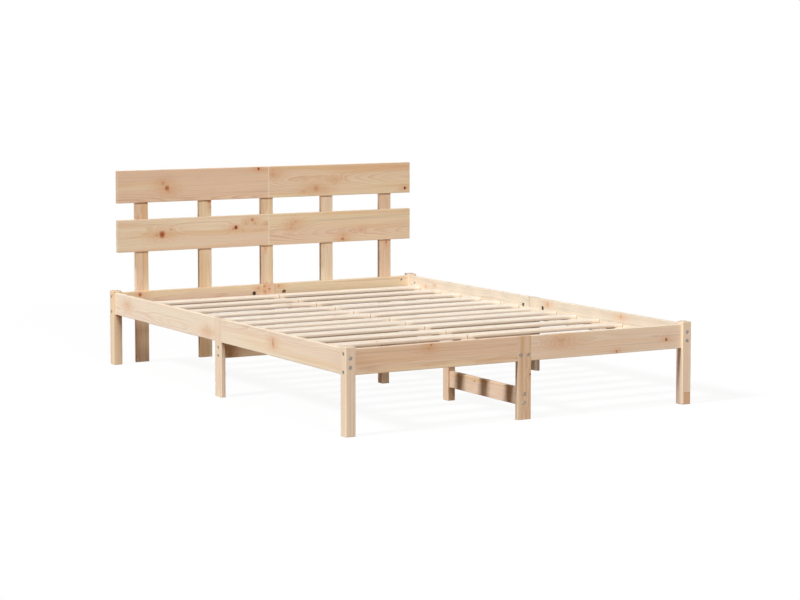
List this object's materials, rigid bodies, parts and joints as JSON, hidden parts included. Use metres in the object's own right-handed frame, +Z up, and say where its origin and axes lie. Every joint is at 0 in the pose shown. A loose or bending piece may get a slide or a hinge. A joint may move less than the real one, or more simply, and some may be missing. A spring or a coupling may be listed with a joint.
{
  "type": "bed frame",
  "caption": "Low double bed frame in untreated pine, with short square legs, a slatted deck on side ledges and a centre beam, and a headboard of two rows of planks on uprights.",
  "frame": {"origin": "on the floor, in the middle of the frame's overall length and width", "axes": "+X to the right seen from the foot of the bed, +Y along the bed to the headboard, +Z up"},
  "size_m": [1.455, 2.065, 0.806],
  "materials": {
    "pine": "planed and sanded, untreated, with knots",
    "beech": "turned, untreated",
    "steel": "bright zinc plated"
  },
  "bodies": {
    "root": {"corner_leg_foot_left": "pine", "corner_leg_foot_right": "pine", "corner_leg_head_left": "pine", "corner_leg_head_right": "pine", "middle_leg_left": "pine", "middle_leg_right": "pine", "middle_leg_foot": "pine", "middle_leg_head": "pine", "side_rail_left_foot": "pine", "side_rail_left_head": "pine", "side_rail_right_foot": "pine", "side_rail_right_head": "pine", "foot_rail_left": "pine", "foot_rail_right": "pine", "head_rail_left": "pine", "head_rail_right": "pine", "plank_top_left": "pine", "plank_top_right": "pine", "plank_low_left": "pine", "plank_low_right": "pine", "upright_1": "pine", "upright_2": "pine", "upright_3": "pine", "upright_4": "pine", "upright_5": "pine", "centre_beam_foot": "pine", "centre_beam_head": "pine", "cross_beam_left": "pine", "cross_beam_right": "pine", "centre_leg_foot": "pine", "centre_leg_middle": "pine", "centre_leg_head": "pine", "stretcher_foot": "pine", "stretcher_head": "pine", "ledge_left_foot": "pine", "ledge_left_head": "pine", "ledge_right_foot": "pine", "ledge_right_head": "pine", "slat_row_1": "pine", "slat_row_2": "pine", "slat_row_3": "pine", "slat_row_4": "pine", "slat_row_5": "pine", "slat_row_6": "pine", "slat_row_7": "pine", "slat_row_8": "pine", "slat_row_9": "pine", "slat_row_10": "pine", "slat_row_11": "pine", "slat_row_12": "pine", "slat_row_13": "pine", "corner_bolts": "steel", "middle_bolts": "steel", "barrel_nuts": "steel", "joint_rods": "steel", "joint_washers": "steel", "joint_nuts": "steel", "slat_screws": "steel", "frame_screws": "steel", "dowels": "beech"}
  },
  "joints": []
}
